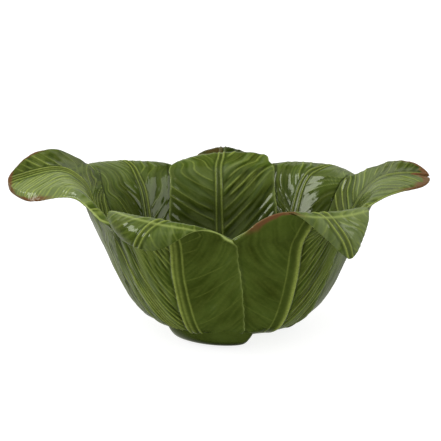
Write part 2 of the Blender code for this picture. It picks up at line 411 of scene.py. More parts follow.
DEEP_GREEN = (0.026, 0.041, 0.0022)
MID_GREEN = (0.060, 0.094, 0.0120)
LIGHT_GREEN = (0.130, 0.170, 0.062)
PALE_GREEN = (0.350, 0.420, 0.085)
POOL_AND_SHADE_GREEN = (0.012, 0.020, 0.0010)
EDGE_GLAZE_AND_HIGHLIGHT_GREEN = (0.330, 0.400, 0.110)
BROWN = (0.150, 0.062, 0.026)

# Noise in the glaze: scale, detail, roughness.
CLOUD = (38.0, 4.0, 0.6)
SPECKLE = (420.0, 3.0, 0.65)
SKIN = (120.0, 3.0, 0.5)
SKIN_STRENGTH = 0.2
SKIN_DEPTH = 0.0008

# Ramps: place and shade of each stop. Covers: how much of the colour below each one hides.
BODY_RAMP = ((0.11, DEEP_GREEN), (0.39, MID_GREEN), (0.70, LIGHT_GREEN))
STREAK_RAMP = ((0.1, 0.0), (0.8, 0.16))
RIDGE_SPECKLE_RAMP = ((0.3, 0.6), (0.65, 1.0))
BROWN_SPECKLE_RAMP = ((0.3, 0.75), (0.6, 1.0))
ROUGHNESS_RAMP = ((0.3, 0.06), (0.7, 0.12))
TONE_SHARE = 0.14
CLOUD_SHARE = 0.5
STREAK_MIDDLE = 0.5
RIDGE_COVER = 0.9
POOL_AND_SHADE_COVER = 0.85
EDGE_AND_HIGHLIGHT_COVER = 0.8
GLAZE_IOR = 1.5
GLAZE_TINT = (0.95, 1.0, 0.80, 1.0)

# The camera and the lights are in metres, the target from the bowl's own axis.
CAMERA_ELEVATION = 17.0
CAMERA_DISTANCE = 1.5
CAMERA_LENS = 129.1
CAMERA_SENSOR = 36.0
CAMERA_TARGET = Vector((-7.1, 0.0, 105.0)) * MM

STAGE_SIZE = 8.0
STAGE_GREY = (0.36, 0.36, 0.36, 1.0)
STAGE_ROUGHNESS = 0.9
STAGE_GLOW = 0.84

# The sky that the gloss reflects: (height or side from -1 to 1, strength).
SKY_TINT = (0.95, 1.0, 0.80)
SKY_AHEAD = ((0.35, 0.02), (0.60, 0.45), (0.78, 0.45), (0.90, 0.02))
SKY_BEHIND = ((-0.85, 0.0), (-0.55, 0.42), (0.35, 0.42), (0.55, 0.75), (0.75, 0.10))
SKY_TURN = ((0.15, 0.0), (0.60, 1.0))
SKY_SIDES = ((-0.5, 1.4), (0.4, 0.75))
WORLD_GLOW = 0.74
WHITE = (1.0, 1.0, 1.0)

SEEN_IN_GLOSS = ("left_softbox", "right_softbox")
LIGHT_AIM = (0.0, 0.0, 0.1)
SOFTBOXES = {
    # name: place, size, power
    "top_softbox": ((0.1, -0.25, 1.7), (2.1, 1.1), 12.0),
    "left_softbox": ((-1.6, -0.25, 0.9), (0.9, 0.55), 8.0),
    "right_softbox": ((1.6, -0.35, 0.7), (0.6, 0.8), 3.0),
    "front_softbox": ((-0.35, -1.3, 1.25), (0.6, 0.5), 1.8),
}

# ---- small maths


def smoothstep(low, high, value):
    share = np.clip((value - low) / (high - low), 0.0, 1.0)
    return share * share * (3.0 - 2.0 * share)


def bump(value, width):
    return np.exp(-((value / width) ** 2))


def quadratic(first, middle, last, share):
    """A curve through three values or points, at shares 0, 0.5 and 1."""
    return (
        first * (2 * (share - 0.5) * (share - 1))
        + middle * (4 * share * (1 - share))
        + last * (2 * share * (share - 0.5))
    )


def spline_weights(shares, count):
    """Weights of a uniform cubic B-spline on count points that reaches its end points."""
    place = np.asarray(shares, float) * (count - 1)
    first = np.clip(np.floor(place).astype(int), 0, count - 2)
    t = place - first
    four = np.stack(
        [(1 - t) ** 3, 3 * t**3 - 6 * t**2 + 4, -3 * t**3 + 3 * t**2 + 3 * t + 1, t**3], -1
    )
    weights = np.zeros(place.shape + (count + 2,))
    for index in range(4):
        at = np.expand_dims(first + index, -1)
        old = np.take_along_axis(weights, at, -1)
        np.put_along_axis(weights, at, old + four[..., index : index + 1] / 6.0, -1)
    ends = np.zeros((count + 2, count))
    ends[1:-1] = np.eye(count)
    ends[0, :2] = (2.0, -1.0)
    ends[-1, -2:] = (-1.0, 2.0)
    return weights @ ends


def lattice_noise(points, cell, seed):
    """Smooth noise from -1 to 1 that changes over about one cell."""
    values = np.random.default_rng(seed).uniform(-1.0, 1.0, (32, 32, 32))
    place = points / cell
    low = np.floor(place).astype(int)
    share = place - low
    share = share * share * (3.0 - 2.0 * share)
    total = np.zeros(points.shape[:-1])
    for corner in np.ndindex(2, 2, 2):
        at = [(low[..., axis] + corner[axis]) % 32 for axis in range(3)]
        weight = np.ones(points.shape[:-1])
        for axis in range(3):
            weight = weight * (share[..., axis] if corner[axis] else 1.0 - share[..., axis])
        total += weight * values[at[0], at[1], at[2]]
    return total


def layered_noise(grid, layers):
    """The sum of a few layers of noise on one leaf."""
    return sum(
        strength * lattice_noise(grid.points, cell, seed + grid.number)
        for strength, cell, seed in layers
    )


def edge_grid(count, length):
    """Shares from 0 to 1, closer together over the rounded edge at both ends."""
    edge = EDGE_ROUND / length
    steps = edge * (1.0 - np.cos(np.linspace(0.0, math.pi / 2, EDGE_POINTS, endpoint=False)))
    middle = np.linspace(edge, 1.0 - edge, count)
    return np.concatenate([steps, middle, 1.0 - steps[::-1]])


def rounded(distance):
    """How full the thickness is at a distance from an edge: a quarter circle."""
    share = np.clip(distance / EDGE_ROUND, 0.0, 1.0)
    return np.sqrt(np.clip(1.0 - (1.0 - share) ** 2, 0.0, 1.0))


def between(ends, share):
    return ends[0] + (ends[1] - ends[0]) * share


# ---- leaf surface


def wall_row(index, seams):
    radius, height = WALL[index]
    climb = np.clip((index - FLOOR_ROWS) / (len(WALL) - FLOOR_ROWS - 2), 0.0, 1.0)
    start = quadratic(*SEAMS[seams[0]], climb)
    end = quadratic(*SEAMS[seams[1]], climb)
    if end < start:
        end += 360.0
    angles = np.radians(np.linspace(start, end, CAGE_COLUMNS))
    swell = np.full(CAGE_COLUMNS, 1.0 / math.cos((angles[1] - angles[0]) / SWELL_STEP))
    swell[[0, -1]] = 1.0
    reach = radius * swell
    return np.stack(
        [reach * np.cos(angles), reach * np.sin(angles), np.full(CAGE_COLUMNS, height)], -1
    )


def lobe_row(points, seams):
    first, middle, last = points
    first = np.array(first if first else NOTCHES[seams[0]], float)
    last = np.array(last if last else NOTCHES[seams[1]], float)
    middle = np.array(middle, float)
    shares = np.linspace(0.0, 1.0, CAGE_COLUMNS)
    return np.array([quadratic(first, middle, last, share) for share in shares])


def leaf_cage(leaf):
    rows = [wall_row(index, leaf["seams"]) for index in range(len(WALL))]
    rows += [lobe_row(points, leaf["seams"]) for points in leaf["lobe"]]
    return np.array(rows)


def lengths_along(points, axis):
    """Distance from the first point, along one axis of a grid of points."""
    steps = np.linalg.norm(np.diff(points, axis=axis), axis=-1)
    total = np.cumsum(steps, axis=axis)
    return np.insert(total, 0, 0.0, axis=axis)


def seam_reach(leaf, side):
    """How far one margin runs past its seam."""
    return SEAM_SHOWN if leaf["shown"][side] else SEAM_HIDDEN


class LeafGrid:
    """Points of one leaf's middle surface, with what its relief and colour depend on."""

    def __init__(self, leaf, number):
        self.leaf = leaf
        self.number = number
        self.cage = leaf_cage(leaf)
        self.set_rows()
        self.set_columns()
        self.set_distances()
        self.set_rib_lines()

    def set_rows(self):
        """Rows evenly spaced along the middle of the leaf."""
        dense = np.linspace(0.0, 1.0, DENSE_ROWS)
        middle = spline_weights(dense, len(self.cage)) @ self.cage[:, CAGE_COLUMNS // 2]
        travelled = lengths_along(middle, 0)
        self.dense = dense
        self.travelled = travelled
        self.length = travelled[-1]
        span = np.einsum("vr,rcx->vcx", spline_weights(dense, len(self.cage)), self.cage)
        self.widest = lengths_along(span, 1)[:, -1].max()
        step = max(GRID_STEP, math.sqrt(self.length * self.widest / MESH_POINTS))
        self.column_count = int(self.widest / step)
        self.from_base = edge_grid(int(self.length / step), self.length) * self.length
        self.shares = np.interp(self.from_base, travelled, dense)
        weights = spline_weights(self.shares, len(self.cage))
        self.rows = np.einsum("vr,rcx->vcx", weights, self.cage)
        # The row where the notches are, after which the margins are free.
        notch = len(WALL) / (len(self.cage) - 1)
        self.past_notch = self.from_base - np.interp(notch, dense, travelled)

    def set_columns(self):
        """Columns that run past a seam, wave at a free margin and round the tip's corners."""
        width = lengths_along(self.rows, 1)[:, -1]
        grid = edge_grid(self.column_count, self.widest)
        corner = self.leaf.get("corner", CORNER)
        to_tip = self.length - self.from_base
        turn = np.clip((corner - to_tip) / corner, 0.0, 1.0)
        cut = corner * (1.0 - np.sqrt(1.0 - turn**2))
        low = (self.margin_reach(0) - cut) / width
        high = (self.margin_reach(1) - cut) / width
        shares = -low[:, None] + (1.0 + low + high)[:, None] * grid[None, :]
        self.across_share = shares
        across = np.einsum("vuc,rcx->vurx", spline_weights(shares, CAGE_COLUMNS), self.cage)
        self.points = np.einsum("vur,vurx->vux", self.row_weights(shares), across)

    def row_weights(self, shares):
        """Each point's place from floor to tip, drawn back a little where the tip has a notch."""
        width, depth = self.leaf.get("tip_notch", (1.0, 0.0))
        from_rib = (shares - self.leaf["rib"][-1]) * self.widest
        near_tip = smoothstep(TIP_NOTCH_FADE, 0.0, self.length - self.from_base)[:, None]
        from_base = self.from_base[:, None] - depth * bump(from_rib, width) * near_tip
        places = np.interp(from_base, self.travelled, self.dense)
        return spline_weights(places, len(self.cage))

    def margin_reach(self, side):
        """How far each row runs past the leaf's own margin, in mm."""
        held = 1.0 - smoothstep(*SEAM_END, self.past_notch)
        free = smoothstep(0.0, WAVE_START, self.past_notch)
        phase = LEAF_PHASE * self.number + SIDE_PHASE * side
        drift = SLOW_DRIFT * np.sin(self.from_base / SLOW_DRIFT_WAVE)
        slow = np.sin(self.from_base / SLOW_WAVE + phase + drift)
        fast = np.sin(self.from_base / FAST_WAVE + 2.0 * phase)
        ragged = np.sin(self.from_base / RAGGED_WAVES[0] + 3.0 * phase)
        ragged = ragged * np.sin(self.from_base / RAGGED_WAVES[1] + phase)
        wave = self.leaf["wave"][side] * (slow + FAST_SHARE * fast)
        at_notch = bump(self.past_notch - NOTCH_CUT_PLACE, NOTCH_CUT_WIDTH)
        cut = self.leaf.get("notch_cut", (0.0, 0.0))[side] * at_notch
        return held * (seam_reach(self.leaf, side) + RAGGED_HEIGHT * ragged) - cut + free * wave

    def set_distances(self):
        steps = lengths_along(self.points, 1)
        self.from_start = steps
        self.from_end = steps[:, -1:] - steps
        self.from_tip = np.broadcast_to((self.length - self.from_base)[:, None], steps.shape)
        self.from_floor = np.broadcast_to(self.from_base[:, None], steps.shape)
        across = np.gradient(self.points, axis=1)
        along = np.gradient(self.points, axis=0)
        outward = np.cross(across, along)
        self.outward = outward / np.linalg.norm(outward, axis=-1, keepdims=True)

    def set_rib_lines(self):
        """Each point's place along the midrib and its signed distance from it."""
        ribs = self.leaf["rib"]
        place = np.interp(self.shares, np.linspace(0.0, 1.0, len(ribs)), ribs)
        smooth = np.exp(-np.linspace(-2.0, 2.0, 2 * RIB_SMOOTHING + 1) ** 2)
        padded = np.pad(place, RIB_SMOOTHING, "edge")
        place = np.convolve(padded, smooth / smooth.sum(), "valid")
        weights = spline_weights(place, CAGE_COLUMNS)
        midrib = np.einsum("vc,vcx->vx", weights, self.rows)
        tangent = np.gradient(midrib, axis=0)
        tangent /= np.linalg.norm(tangent, axis=-1, keepdims=True)
        offset = self.points - midrib[:, None, :]
        forward = np.einsum("vux,vx->vu", offset, tangent)
        beside = np.sqrt(np.maximum((offset**2).sum(-1) - forward**2, 0.0))
        travelled = lengths_along(midrib, 0)
        self.along = travelled[:, None] + forward
        self.across = beside * np.sign(self.across_share - place[:, None])
        self.rib_scale = 1.0 - RIB_TAPER * (travelled / travelled[-1])[:, None]
        self.outer_rib_scale = OUTER_RIB_LEAST + (1.0 - OUTER_RIB_LEAST) * self.rib_scale


# ---- leaf relief


class Veins:
    """The side veins of one leaf: where they run, and each one's own strength and reach."""

    def __init__(self, grid):
        self.grid = grid
        d = np.abs(grid.across)
        second = grid.across > 0
        first_half, second_half = grid.leaf["veins"]
        pitch, lean, bend, inner, outer = (
            np.where(second, two, one) for one, two in zip(first_half, second_half)
        )
        self.strength = {-1: inner, 1: outer}
        wander = layered_noise(grid, VEIN_WANDER) * smoothstep(0.0, VEIN_WANDER_START, d)
        self.place = grid.along - lean * d - bend * d * d + wander
        self.side = np.where(second, 0.5, 0.0)
        self.phase = self.place / pitch + self.side
        slope = lean + 2.0 * bend * d
        self.squeeze = 1.0 / np.sqrt(1.0 + slope * slope)
        self.spacing = pitch * self.squeeze
        self.clear = smoothstep(*VEIN_CLEAR, d / grid.outer_rib_scale)
        self.distance = d

    def ridges(self):
        """How much of a thin ridge each point is, from 0 to 1."""
        nearest = np.round(self.phase).astype(int)
        gap = np.abs(self.phase - nearest) * self.spacing
        key = nearest * 2 + (self.side > 0) + VEIN_DRAWS_PER_LEAF * self.grid.number
        draws = np.random.default_rng(VEIN_SEED).uniform(0.0, 1.0, (3, VEIN_DRAWS))
        own, late, long = (draw[key % VEIN_DRAWS] for draw in draws)
        strength = VEIN_LEAST + (1.0 - VEIN_LEAST) * own
        start = VEIN_START[0] + VEIN_START[1] * late**2
        stop = start + VEIN_LENGTH[0] + VEIN_LENGTH[1] * long
        begun = smoothstep(start + VEIN_FADE_IN[0], start + VEIN_FADE_IN[1], self.distance)
        ended = smoothstep(stop - VEIN_FADE_OUT, stop, self.distance)
        main = strength * begun * (1.0 - ended) * bump(gap, VEIN_WIDTH)
        return self.clear * np.maximum(main, self.fine_veins())

    def fine_veins(self):
        """Thinner ridges between the veins, which show only in patches."""
        phase = FINE_VEINS * self.phase
        gap = np.abs(phase - np.round(phase)) * self.spacing / FINE_VEINS
        patches = smoothstep(0.0, FINE_VEIN_PATCH_FADE, self.streaks(FINE_VEIN_PATCH, 7))
        return FINE_VEIN_HEIGHT * patches * bump(gap, FINE_VEIN_WIDTH)

    def streaks(self, size, seed):
        """Noise from -1 to 1, drawn out along the veins."""
        between_veins = self.place * self.squeeze / size[0]
        along_veins = self.distance / self.squeeze / size[1]
        lines = np.stack([between_veins, along_veins, HALVES_APART * self.side], -1)
        return lattice_noise(lines, 1.0, seed + 3 * self.grid.number)

    def height(self, ridges, face):
        pillow = PILLOW_HEIGHT * np.cos(2.0 * math.pi * self.phase)
        streak = STREAK_HEIGHT * self.streaks(STREAK_SIZE, 1)
        streak += FINE_STREAK_HEIGHT * self.streaks(FINE_STREAK_SIZE, 2)
        return self.strength[face] * (VEIN_HEIGHT * ridges + self.clear * (pillow + streak))


def midrib_lines(grid, lines, scale):
    return sum(high * bump(grid.across - place * scale, width) for place, width, high in lines)


def rib_half_width(grid, face):
    """How far the midrib's outermost line is from its middle."""
    if face > 0:
        return OUTER_RIB
    return max(abs(line[0]) for line in grid.leaf.get("inner_lines", INNER_LINES))


def inner_midrib(grid):
    """A shallow channel between thin ridges, on the leaf's upper face."""
    d = grid.across
    k = grid.rib_scale
    ridges = midrib_lines(grid, grid.leaf.get("inner_lines", INNER_LINES), k)
    ridges = ridges * (1.0 + layered_noise(grid, INNER_RIB_WOBBLE))
    half_width = rib_half_width(grid, -1)
    outside, inside = CHANNEL_WALL
    channel = smoothstep(half_width + outside, half_width + inside, np.abs(d) / k)
    beside = bump(np.abs(d) - (half_width * k + BESIDE_RIB), BESIDE_WIDTH)
    height = INNER_LINE_HEIGHT * ridges - CHANNEL_DEPTH * channel - BESIDE_DEPTH * beside
    # Painted shade, with some gathered glaze, in the channel and the groove beside it.
    pool_and_shade = RIB_POOL_AND_SHADE * channel + RIB_POOL_AND_SHADE * beside
    return height, np.clip(ridges, 0.0, 1.0), np.clip(pool_and_shade, 0.0, 1.0)


def outer_midrib(grid):
    """A broad raised rib with lines and grooves along it, on the leaf's underside."""
    k = grid.outer_rib_scale
    ridge = midrib_lines(grid, grid.leaf.get("outer_lines", OUTER_LINES), k)
    ridge = ridge * (1.0 + layered_noise(grid, OUTER_RIB_WOBBLE))
    groove = midrib_lines(grid, grid.leaf.get("outer_grooves", OUTER_GROOVES), k)
    broad = np.exp(-((grid.across / (RIB_WIDTH * k)) ** 4))
    height = RIB_HEIGHT * broad + OUTER_LINE_HEIGHT * ridge - OUTER_GROOVE_DEPTH * groove
    pale = np.clip(ridge + OUTER_RIB_PALENESS * broad, 0.0, 1.0)
    # Its grooves are darkened with painted shade and some gathered glaze.
    return height, pale, np.clip(OUTER_GROOVE_POOL_AND_SHADE * groove, 0.0, 1.0)


def seam_side(grid, side):
    """Distance from one margin, and how strongly the seam still holds there."""
    margin = grid.from_start if side == 0 else grid.from_end
    held = (1.0 - smoothstep(0.0, SEAM_RELEASE, grid.past_notch))[:, None]
    return margin, held


def seam_lift(grid):
    total = np.zeros(grid.across.shape)
    for side in (0, 1):
        margin, held = seam_side(grid, side)
        lift = SEAM_LIFT * grid.leaf["over"][side]
        total += lift * held * (1.0 - smoothstep(0.0, SEAM_BLEND, margin))
    return total


def lip(grid):
    """How much of the thickness is left towards a free margin and the tip."""
    share = smoothstep(0.0, LIP_DEPTH, grid.from_tip)
    for side in (0, 1):
        margin, held = seam_side(grid, side)
        share = np.minimum(share, np.maximum(held, smoothstep(0.0, LIP_DEPTH, margin)))
    return LIP_THICKNESS + (1.0 - LIP_THICKNESS) * share


def margin_curl(grid):
    """How far a free margin rolls over towards the leaf's underside."""
    total = np.zeros(grid.across.shape)
    for side, depth in enumerate(grid.leaf.get("curl", (0.0, 0.0))):
        margin, held = seam_side(grid, side)
        total += depth * (1.0 - held) * (1.0 - smoothstep(0.0, CURL_BLEND, margin))
    return total


def seam_shade_and_pool(grid, face):
    """Painted shade, with some gathered glaze, beside a neighbour's margin. face is 1 outside and
    -1 inside.
    """
    pool_and_shade = np.zeros(grid.across.shape)
    for side in (0, 1):
        if grid.leaf["over"][side] == face:
            continue
        margin, held = seam_side(grid, side)
        neighbour = seam_reach(grid.leaf, side)
        beside = bump(margin - neighbour - SEAM_SHADE_WIDTH, SEAM_SHADE_WIDTH)
        pool_and_shade = np.maximum(pool_and_shade, held * beside)
    return pool_and_shade * (OUTER_SEAM_SHADE if face > 0 else 1.0)


def edge_glaze_and_highlight(grid, face):
    """The bright line along an edge: thin glaze with a painted highlight. Free margins have it on
    both faces.
    """
    edge = bump(grid.from_tip, EDGE_WIDTH)
    for side in (0, 1):
        margin, held = seam_side(grid, side)
        shown = 1.0 if grid.leaf["over"][side] == face else 0.0
        width = EDGE_WIDTH + SEAM_EDGE_EXTRA * held
        edge = np.maximum(edge, (held * shown + 1.0 - held) * bump(margin, width))
    return edge * (EDGE_GLAZE_AND_HIGHLIGHT + layered_noise(grid, EDGE_WOBBLE))


def fold_line(grid, face):
    """A pale line where the rim folds back, thin glaze with a painted highlight, and painted shade
    on the tip behind it, on the upper face.
    """
    none = np.zeros(grid.across.shape)
    if face > 0 or "fold" not in grid.leaf:
        return none, none
    distance, slope, shade_behind_fold = grid.leaf["fold"]
    past = grid.from_tip - (distance - slope * np.abs(grid.across))
    line = FOLD_GLAZE_AND_HIGHLIGHT * bump(past, FOLD_WIDTH)
    return line, shade_behind_fold * (1.0 - smoothstep(*FOLD_SHADE, past))


def brown_glaze(grid):
    """The brown margin near a leaf's tip, from 0 to 1."""
    total = np.zeros(grid.across.shape)
    if "brown" not in grid.leaf:
        return total
    ragged = 1.0 + layered_noise(grid, BROWN_WOBBLE)
    wide = grid.leaf.get("brown_width", 1.0)
    full_width, no_width = BROWN_BAND
    for side, (near, far) in enumerate(grid.leaf["brown"]):
        if far == 0:
            continue
        margin, _ = seam_side(grid, side)
        if near == 0:
            margin = np.minimum(margin, grid.from_tip)
        fade = 1.0 - smoothstep(*np.add(far, BROWN_FAR_END), grid.from_tip)
        if near:
            fade = fade * smoothstep(*np.add(near, BROWN_NEAR_END), grid.from_tip)
        free = smoothstep(0.0, BROWN_START, grid.past_notch)[:, None]
        band = 1.0 - smoothstep(full_width * wide, no_width * wide * ragged, margin)
        total = np.maximum(total, free * fade * band)
    first, second = grid.leaf.get("brown_tip", (0.0, 0.0))
    reach = np.maximum(np.where(grid.across > 0, second, first) * ragged, BROWN_LEAST_TIP)
    tip = 1.0 - smoothstep(BROWN_TIP_SOLID * reach, reach, grid.from_tip)
    return np.maximum(total, tip)


def tone_level(grid, face, lobe):
    """How light one face of a leaf is before its streaks, with painted sheen on its lighter halves
    and painted shade low inside the bowl.
    """
    if face > 0:
        return TONE_OUTSIDE
    # Painted sheen with the glaze's own tone: how much lighter or darker each half is made.
    sheen_and_tone = between(grid.leaf.get("sheen_and_tone", (0.0, 0.0)), smoothstep(*TONE_HALVES, grid.across))
    # Painted shade: darker towards the floor inside the bowl.
    depth = smoothstep(*TONE_WELL_SHADE_HEIGHTS, grid.points[..., 2])
    return TONE_RIM + sheen_and_tone * lobe - TONE_WELL_SHADE * depth


def glaze_and_shade_darkening(grid, face, rib_pool_and_shade):
    """How dark one face is: painted shade with some gathered glaze beside seams and midribs, and
    painted shade low inside the bowl.
    """
    glaze_and_shade = np.maximum(seam_shade_and_pool(grid, face), rib_pool_and_shade)
    if face > 0:
        return glaze_and_shade
    # Painted shade low inside the bowl.
    low = smoothstep(*WELL_SHADE_HEIGHTS, grid.points[..., 2])
    return np.maximum(glaze_and_shade, WELL_PAINTED_SHADE * low)


def leaf_faces(grid):
    """Points and colour values of the leaf's outer and inner faces."""
    full = rounded(grid.from_start) * rounded(grid.from_end)
    full = full * rounded(grid.from_tip) * rounded(grid.from_floor)
    lobe = smoothstep(0.0, LOBE_BLEND, grid.past_notch)[:, None]
    half = 0.5 * between((LEAF_THICKNESS, TIP_THICKNESS), lobe) * full * lip(grid)
    veins = Veins(grid)
    ridges = veins.ridges()
    uneven = UNEVEN_HEIGHT * layered_noise(grid, UNEVENNESS)
    middle = grid.points + grid.outward * (seam_lift(grid) + margin_curl(grid))[..., None]
    brown = brown_glaze(grid)
    clouds = layered_noise(grid, TONE_CLOUDS)
    faces = []
    for face, midrib in ((1, outer_midrib(grid)), (-1, inner_midrib(grid))):
        height, rib_ridge, rib_pool_and_shade = midrib
        rib = rib_half_width(grid, face)
        away = smoothstep(rib, AWAY_FROM_RIB * rib, np.abs(grid.across) / grid.rib_scale)
        relief = (height + away * veins.height(ridges, face) + uneven) * full
        points = middle + face * grid.outward * (half + relief)[..., None]
        strength = veins.strength[face]
        fold_glaze_and_highlight, behind = fold_line(grid, face)
        banding = TONE_BANDS * veins.streaks(STREAK_SIZE, 1) * strength * away
        # The darkening here is painted shade with some gathered glaze, including the painted shade
        # behind a fold.
        pool_and_shade = np.maximum(glaze_and_shade_darkening(grid, face, rib_pool_and_shade), behind)
        values = {
            "ridge": np.clip(np.maximum(rib_ridge, strength * ridges * away), 0.0, 1.0),
            "pool_and_shade": np.clip(pool_and_shade, 0.0, 1.0),
            "edge": np.clip(np.maximum(edge_glaze_and_highlight(grid, face), fold_glaze_and_highlight), 0.0, 1.0),
            "brown": brown * (1.0 - BROWN_BEHIND_FOLD * behind),
            "tone_sheen_and_shade": clouds + banding + tone_level(grid, face, lobe),
            "streak": veins.streaks(FINE_STREAK_SIZE, 2) * strength * away,
        }
        faces.append((points, values))
    return faces


# ---- meshes


def bowl_axis():
    """The bowl's axis in the frame, from the middle of the round well floor."""
    low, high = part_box("well_floor")
    return Vector(((low[0] + high[0]) / 2, (low[1] + high[1]) / 2, 0.0))


AXIS = bowl_axis()


def to_frame(points):
    return np.asarray(points).reshape(-1, 3) * MM + np.array(AXIS)


def new_object(name, points, faces, values):
    mesh = bpy.data.meshes.new(name)
    mesh.from_pydata(to_frame(points).tolist(), [], faces)
    mesh.shade_smooth()
    for key, numbers in values.items():
        attribute = mesh.attributes.new(key, "FLOAT", "POINT")
        attribute.data.foreach_set("value", np.asarray(numbers, np.float32).ravel())
    mesh.update()
    piece = bpy.data.objects.new(name, mesh)
    bpy.context.scene.collection.objects.link(piece)
    return piece


def closed_sheet(outer, inner):
    """One closed body from two grids that meet along their edges."""
    rows, columns = outer[0].shape[:2]
    index = np.arange(rows * columns).reshape(rows, columns)
    back = np.full((rows, columns), -1)
    back[0], back[-1] = index[0], index[-1]
    back[:, 0], back[:, -1] = index[:, 0], index[:, -1]
    inside = back < 0
    back[inside] = rows * columns + np.arange(inside.sum())
    points = np.concatenate([outer[0].reshape(-1, 3), inner[0][inside]])
    values = {
        key: np.concatenate([outer[1][key].ravel(), inner[1][key][inside]]) for key in outer[1]
    }
    front_faces = [index[:-1, :-1], index[:-1, 1:], index[1:, 1:], index[1:, :-1]]
    back_faces = [back[:-1, :-1], back[1:, :-1], back[1:, 1:], back[:-1, 1:]]
    faces = [np.stack(corners, -1).reshape(-1, 4) for corners in (front_faces, back_faces)]
    return points, np.concatenate(faces).tolist(), values


def make_leaf(name, leaf, number, material):
    outer, inner = leaf_faces(LeafGrid(leaf, number))
    points, faces, values = closed_sheet(outer, inner)
    piece = new_object(name.replace("leaf", "ribbed_leaf"), points, faces, values)
    piece.data.materials.append(material)
    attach(piece, "root")
    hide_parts(name)


def plain_values(pool_and_shade):
    """Colour values of a piece with no veins, edges or brown, darkened only by the painted shade it
    is given.
    """
    values = {key: np.zeros(len(pool_and_shade)) for key in ("ridge", "edge", "brown", "tone_sheen_and_shade", "streak")}
    return values | {"pool_and_shade": pool_and_shade}


def rounded_block():
    """Points from -1 to 1 on a block with rounded edges, and its faces."""
    block = bmesh.new()
    bmesh.ops.create_cube(block, size=2.0)
    bmesh.ops.subdivide_edges(block, edges=block.edges[:], cuts=FOOT_CUTS, use_grid_fill=True)
    block.verts.ensure_lookup_table()
    cube = np.array([vertex.co for vertex in block.verts])
    faces = [[vertex.index for vertex in face.verts] for face in block.faces]
    block.free()
    size = np.abs(cube).max(-1, keepdims=True)
    power = FOOT_SQUARENESS
    return cube * size / ((np.abs(cube) ** power).sum(-1, keepdims=True) ** (1 / power)), faces


def make_foot(name, angle, material):
    """A rounded block bent round the bowl's axis, wider where it joins the body."""
    cube, faces = rounded_block()
    climb = (cube[:, 2] + 1.0) / 2.0
    flare = climb**FOOT_FLARE
    inner = between((FOOT_BASE_RADII[0], FOOT_TOP_RADII[0]), flare)
    outer = between((FOOT_BASE_RADII[1], FOOT_TOP_RADII[1]), flare)
    half = between((FOOT_BASE_HALF_ANGLE, FOOT_TOP_HALF_ANGLE), climb**FOOT_NARROWING)
    radius = (inner + outer) / 2 + cube[:, 1] * (outer - inner) / 2
    turn = np.radians(angle + between(FOOT_LEAN, flare) + cube[:, 0] * half)
    outward = (cube[:, 1] + 1.0) / 2.0
    height = climb * (FOOT_TOP + FOOT_OUTER_LIFT * outward**FOOT_LIFT_POWER)
    points = np.stack([radius * np.cos(turn), radius * np.sin(turn), height], -1)
    # The block's Y runs outwards and its X anticlockwise, so its faces have to turn over.
    faces = [face[::-1] for face in faces]
    # Painted shade, darkest where the foot stands on the floor.
    values = plain_values(smoothstep(FOOT_BASE_SHADE, 0.0, climb))
    piece = new_object(name.replace("foot", "arched_foot"), points, faces, values)
    piece.data.materials.append(material)
    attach(piece, "root")
    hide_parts(name)


def make_well(material):
    """The round floor, which shows as a low boss where the seven leaves meet."""
    radii = np.concatenate([np.linspace(*WELL_INNER_RINGS), np.linspace(*WELL_OUTER_RINGS)])
    turns = np.linspace(0.0, 2.0 * math.pi, WELL_STEPS, endpoint=False)
    top = between((WELL_TOP, WELL_CENTRE_TOP), np.sqrt(smoothstep(WELL_CENTRE_RADIUS, 0.0, radii)))
    depth = WELL_GROOVE * smoothstep(*WELL_GROOVE_START, radii)
    heights = top[:, None] + depth[:, None] * np.cos(len(LEAVES) * turns)
    across = radii[:, None]
    upper = np.stack([across * np.cos(turns), across * np.sin(turns), heights], -1)
    lower = upper[::-1].copy()
    lower[..., 2] = WELL_UNDERSIDE
    rings = np.concatenate([upper, lower])
    index = np.arange(len(rings) * WELL_STEPS).reshape(len(rings), WELL_STEPS)
    after = np.roll(index, -1, axis=1)
    sides = np.stack([index[:-1], index[1:], after[1:], after[:-1]], -1).reshape(-1, 4)
    faces = sides.tolist() + [index[0].tolist(), index[-1, ::-1].tolist()]
    # Painted shade, even over the well floor low in the bowl.
    values = plain_values(np.full(index.size, WELL_FLOOR_SHADE))
    piece = new_object("round_well_floor", rings, faces, values)
    piece.data.materials.append(material)
    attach(piece, "root")
    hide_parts("well_floor")


# ---- materials


def set_stops(ramp, stops):
    """Give a colour ramp its stops. A shade is a colour or one strength for all three channels."""
    while len(ramp.elements) < len(stops):
        ramp.elements.new(0.5)
    for element, (place, shade) in zip(ramp.elements, stops):
        element.position = place
        colour = shade if isinstance(shade, tuple) else (shade, shade, shade)
        element.color = (*colour, 1.0)


